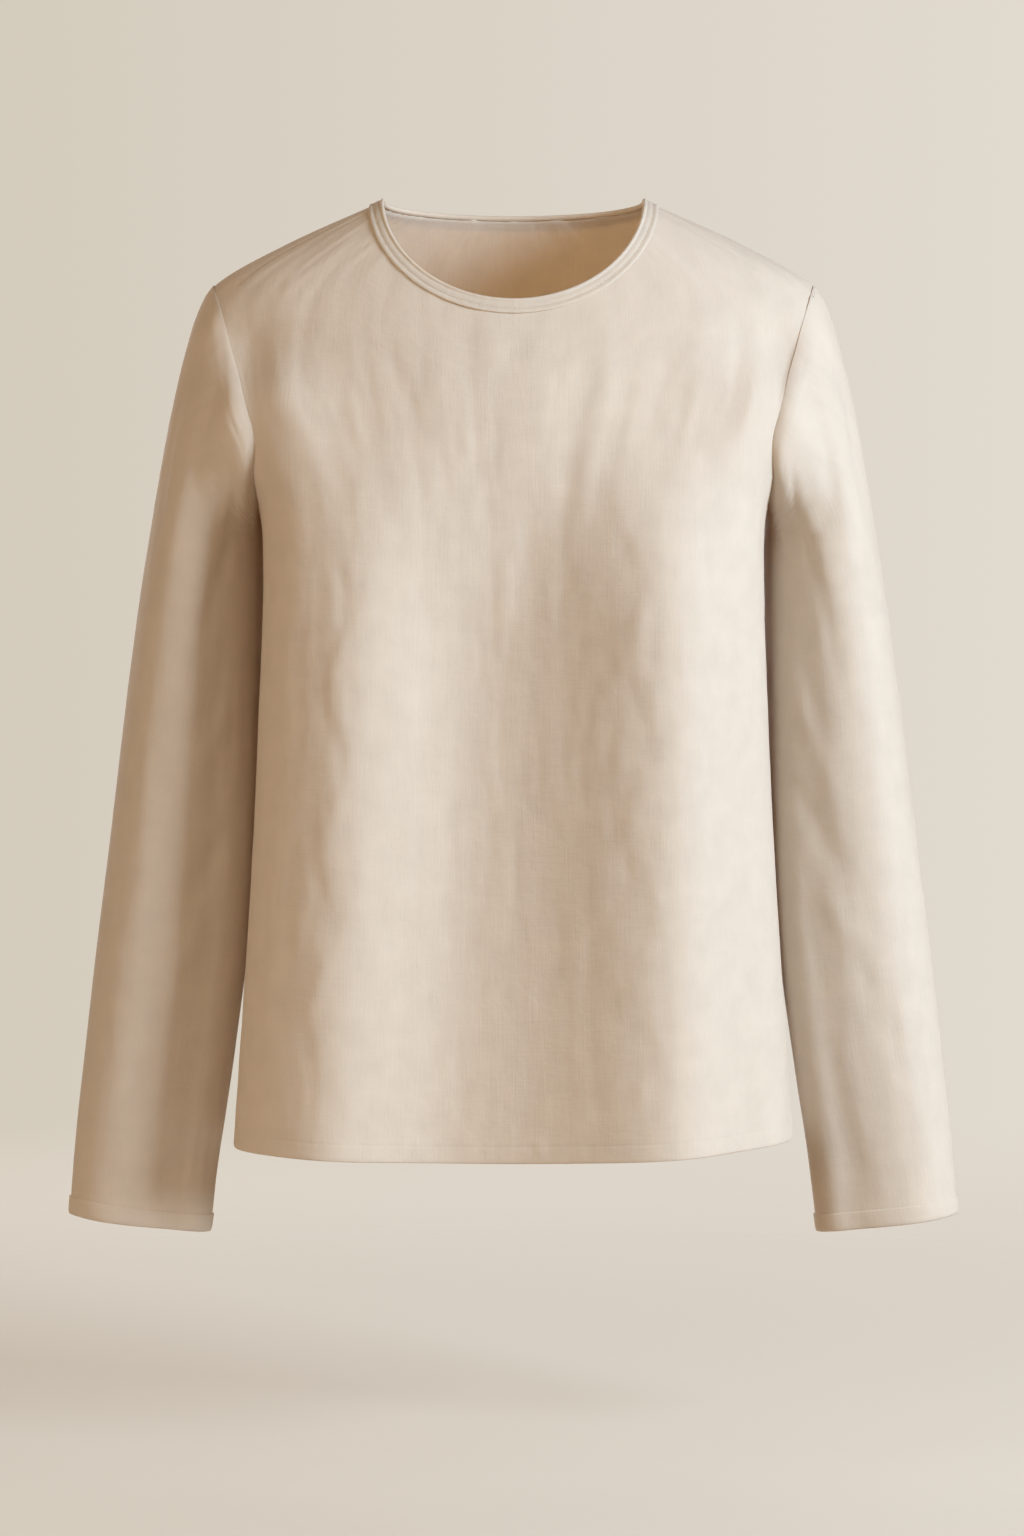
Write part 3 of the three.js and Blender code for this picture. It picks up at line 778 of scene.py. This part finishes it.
def area_light(name, at, towards, size, power, colour):
    light = bpy.data.lights.new(name, "AREA")
    light.shape = "SQUARE"
    light.size = size
    light.energy = power
    light.color = linear(colour)[:3]
    lamp = bpy.data.objects.new(name, light)
    lamp.location = at
    lamp.rotation_euler = (Vector(towards) - Vector(at)).to_track_quat("-Z", "Y").to_euler()
    bpy.context.scene.collection.objects.link(lamp)


def light_room():
    turn, lift, far = math.radians(KEY_TURN), math.radians(KEY_LIFT), 3.0
    at = (
        far * math.sin(turn) * math.cos(lift),
        -far * math.cos(turn) * math.cos(lift),
        far * math.sin(lift) - 0.35,
    )
    area_light("key", at, (0, 0, -0.35), KEY_SIZE, KEY_POWER, "#deefff")
    area_light("front", (-0.9, -2.6, 0.3), (0, 0, -0.3), 2.0, FRONT_POWER, "#ffeedc")
    area_light("back", (-0.9, 2.4, 0.35), (0, 0, -0.25), 1.6, BACK_POWER, "#eef2ff")
    area_light("side", (-1.1, -0.95, -0.25), (-0.15, 0, -0.45), 0.7, SIDE_POWER, "#ffeedc")
    world = bpy.data.worlds.new("room")
    bpy.context.scene.world = world
    world.use_nodes = True
    tree = world.node_tree
    tree.nodes.clear()
    ray = add_node(tree, "ShaderNodeLightPath")
    direct = add_node(tree, "ShaderNodeMath", {"operation": "MAXIMUM"},
                      i0=ray.outputs["Is Camera Ray"], i1=ray.outputs["Is Glossy Ray"])
    seen = add_node(tree, "ShaderNodeMath", {"operation": "MAXIMUM"},
                    i0=direct.outputs[0], i1=ray.outputs["Is Transmission Ray"])
    way = add_node(tree, "ShaderNodeTexCoord")
    split = add_node(tree, "ShaderNodeSeparateXYZ", Vector=way.outputs["Generated"])
    # The wall seen by camera, glossy and transmission rays has its own beige colour. Its gradient is
    # painted light: it is painted lighter towards +X, where the key light stands, and darker towards -X.
    side = add_node(tree, "ShaderNodeMapRange", Value=split.outputs["X"],
                    From_Min=-0.16, From_Max=0.16)
    wall = add_node(tree, "ShaderNodeMix", {"data_type": "RGBA"},
                    Factor=side.outputs["Result"], i6=linear("#d3cabb"), i7=linear("#e2dbd0"))
    fill = add_node(tree, "ShaderNodeBackground", Color=linear("#ffd6a0"), Strength=0.23)
    wall_with_painted_light = add_node(tree, "ShaderNodeBackground", Color=wall.outputs[2], Strength=1.0)
    mixed = add_node(tree, "ShaderNodeMixShader", i0=seen.outputs[0],
                     i1=fill.outputs[0], i2=wall_with_painted_light.outputs[0])
    add_node(tree, "ShaderNodeOutputWorld", Surface=mixed.outputs[0])


def lay_floor():
    """A pale floor that fades into the room's colour."""
    bm = bmesh.new()
    bmesh.ops.create_circle(bm, cap_ends=True, radius=3.2, segments=96)
    bmesh.ops.translate(bm, verts=bm.verts, vec=(0, 0, FLOOR_HEIGHT))
    mesh = bpy.data.meshes.new("floor")
    bm.to_mesh(mesh)
    bm.free()
    floor = bpy.data.objects.new("floor", mesh)
    bpy.context.scene.collection.objects.link(floor)
    material = bpy.data.materials.new("pale paper floor")
    material.use_nodes = True
    tree = material.node_tree
    shader = tree.nodes["Principled BSDF"]
    shader.inputs["Base Color"].default_value = linear("#dfd7cb")
    shader.inputs["Roughness"].default_value = 1.0
    shader.inputs["Specular IOR Level"].default_value = 0.0
    place = add_node(tree, "ShaderNodeTexCoord")
    flat = add_node(tree, "ShaderNodeVectorMath", {"operation": "MULTIPLY"},
                    i0=place.outputs["Object"], i1=(1, 1, 0))
    far = add_node(tree, "ShaderNodeVectorMath", {"operation": "LENGTH"}, i0=flat.outputs[0])
    fade = add_node(tree, "ShaderNodeMapRange", {"interpolation_type": "SMOOTHSTEP"},
                    Value=far.outputs["Value"], From_Min=0.3, From_Max=2.4, To_Min=0.5)
    clear = add_node(tree, "ShaderNodeBsdfTransparent")
    mixed = add_node(tree, "ShaderNodeMixShader", i0=fade.outputs["Result"],
                     i1=shader.outputs[0], i2=clear.outputs[0])
    tree.links.new(mixed.outputs[0], tree.nodes["Material Output"].inputs["Surface"])
    mesh.materials.append(material)


place_camera()
light_room()
lay_floor()
bpy.context.scene.view_settings.view_transform = "Standard"

linen = washed_linen("washed_linen", "#e2dacd")
thread = washed_linen("linen_thread", "#ded4c4")

CUT = {
    # piece: CAD node, width and length of its cut in metres
    "front_panel": ("front", 0.54, 0.66),
    "back_panel": ("back", 0.54, 0.66),
    "left_sleeve": ("sleeve_left", 0.36, 0.66),
    "right_sleeve": ("sleeve_right", 0.36, 0.66),
}
pieces = {
    "front_panel": panel("front_panel", True),
    "back_panel": panel("back_panel", False),
    "left_sleeve": sleeve("left_sleeve", "left"),
    "right_sleeve": sleeve("right_sleeve", "right"),
}
neck_strip = binding("neck_strip")
neck_strip.data.materials.append(linen)
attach(neck_strip, "root")
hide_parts("neck_binding")
sewn = binding_stitches("binding_stitches")
sewn.data.materials.append(thread)
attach(sewn, "root")
for name, (node, width, length) in CUT.items():
    piece = pieces[name]
    piece.data.materials.append(linen)
    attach(piece, "root")
    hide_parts(node)
